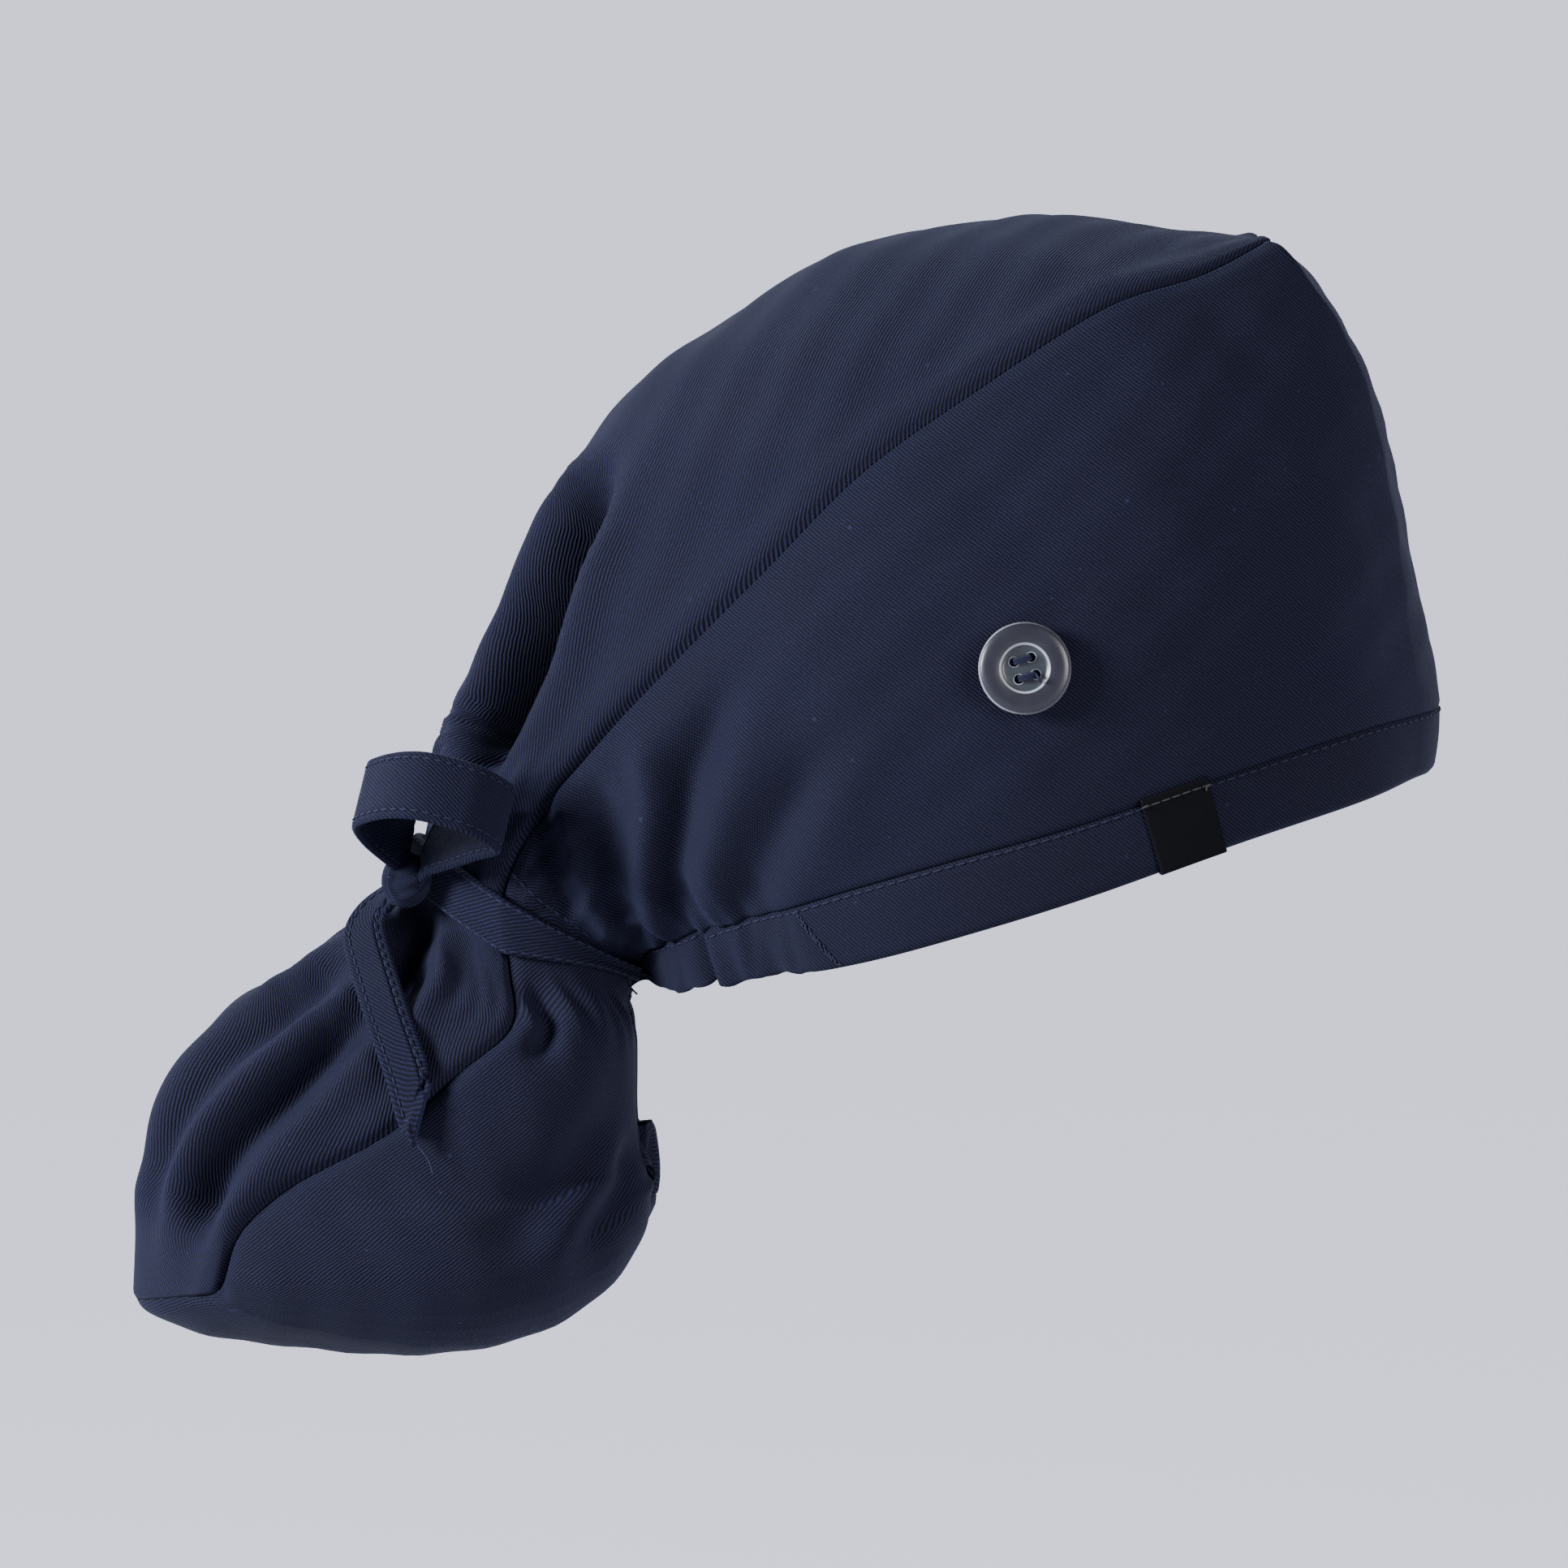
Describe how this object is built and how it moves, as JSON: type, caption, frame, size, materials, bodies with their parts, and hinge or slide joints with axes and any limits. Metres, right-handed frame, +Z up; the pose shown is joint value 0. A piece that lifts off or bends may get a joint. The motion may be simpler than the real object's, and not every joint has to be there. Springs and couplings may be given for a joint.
{
  "type": "ponytail scrub cap",
  "caption": "Worn-form surgical scrub cap of dark twill with a back pouch, cinched neck, bow-tied straps, gathered hem and side buttons.",
  "frame": {"origin": "middle of the head opening, where the head fills it", "axes": "+X towards the brow, +Y towards the wearer's left, +Z up"},
  "size_m": [0.335, 0.1782, 0.2916],
  "materials": {
    "navy_twill": "matte twill",
    "smoke_plastic": "smoky, clear, glossy",
    "navy_thread": "sewing thread",
    "charcoal_ribbon": "woven ribbon"
  },
  "bodies": {
    "root": {"side_panel": "navy_twill", "top_panel": "navy_twill", "hem_band": "navy_twill", "tie_right": "navy_twill", "tie_left": "navy_twill", "knot": "navy_twill", "bow_loop": "navy_twill", "tail_right": "navy_twill", "tail_left": "navy_twill", "button_right": "smoke_plastic", "button_left": "smoke_plastic", "thread_right": "navy_thread", "thread_left": "navy_thread", "label": "charcoal_ribbon"}
  },
  "joints": []
}
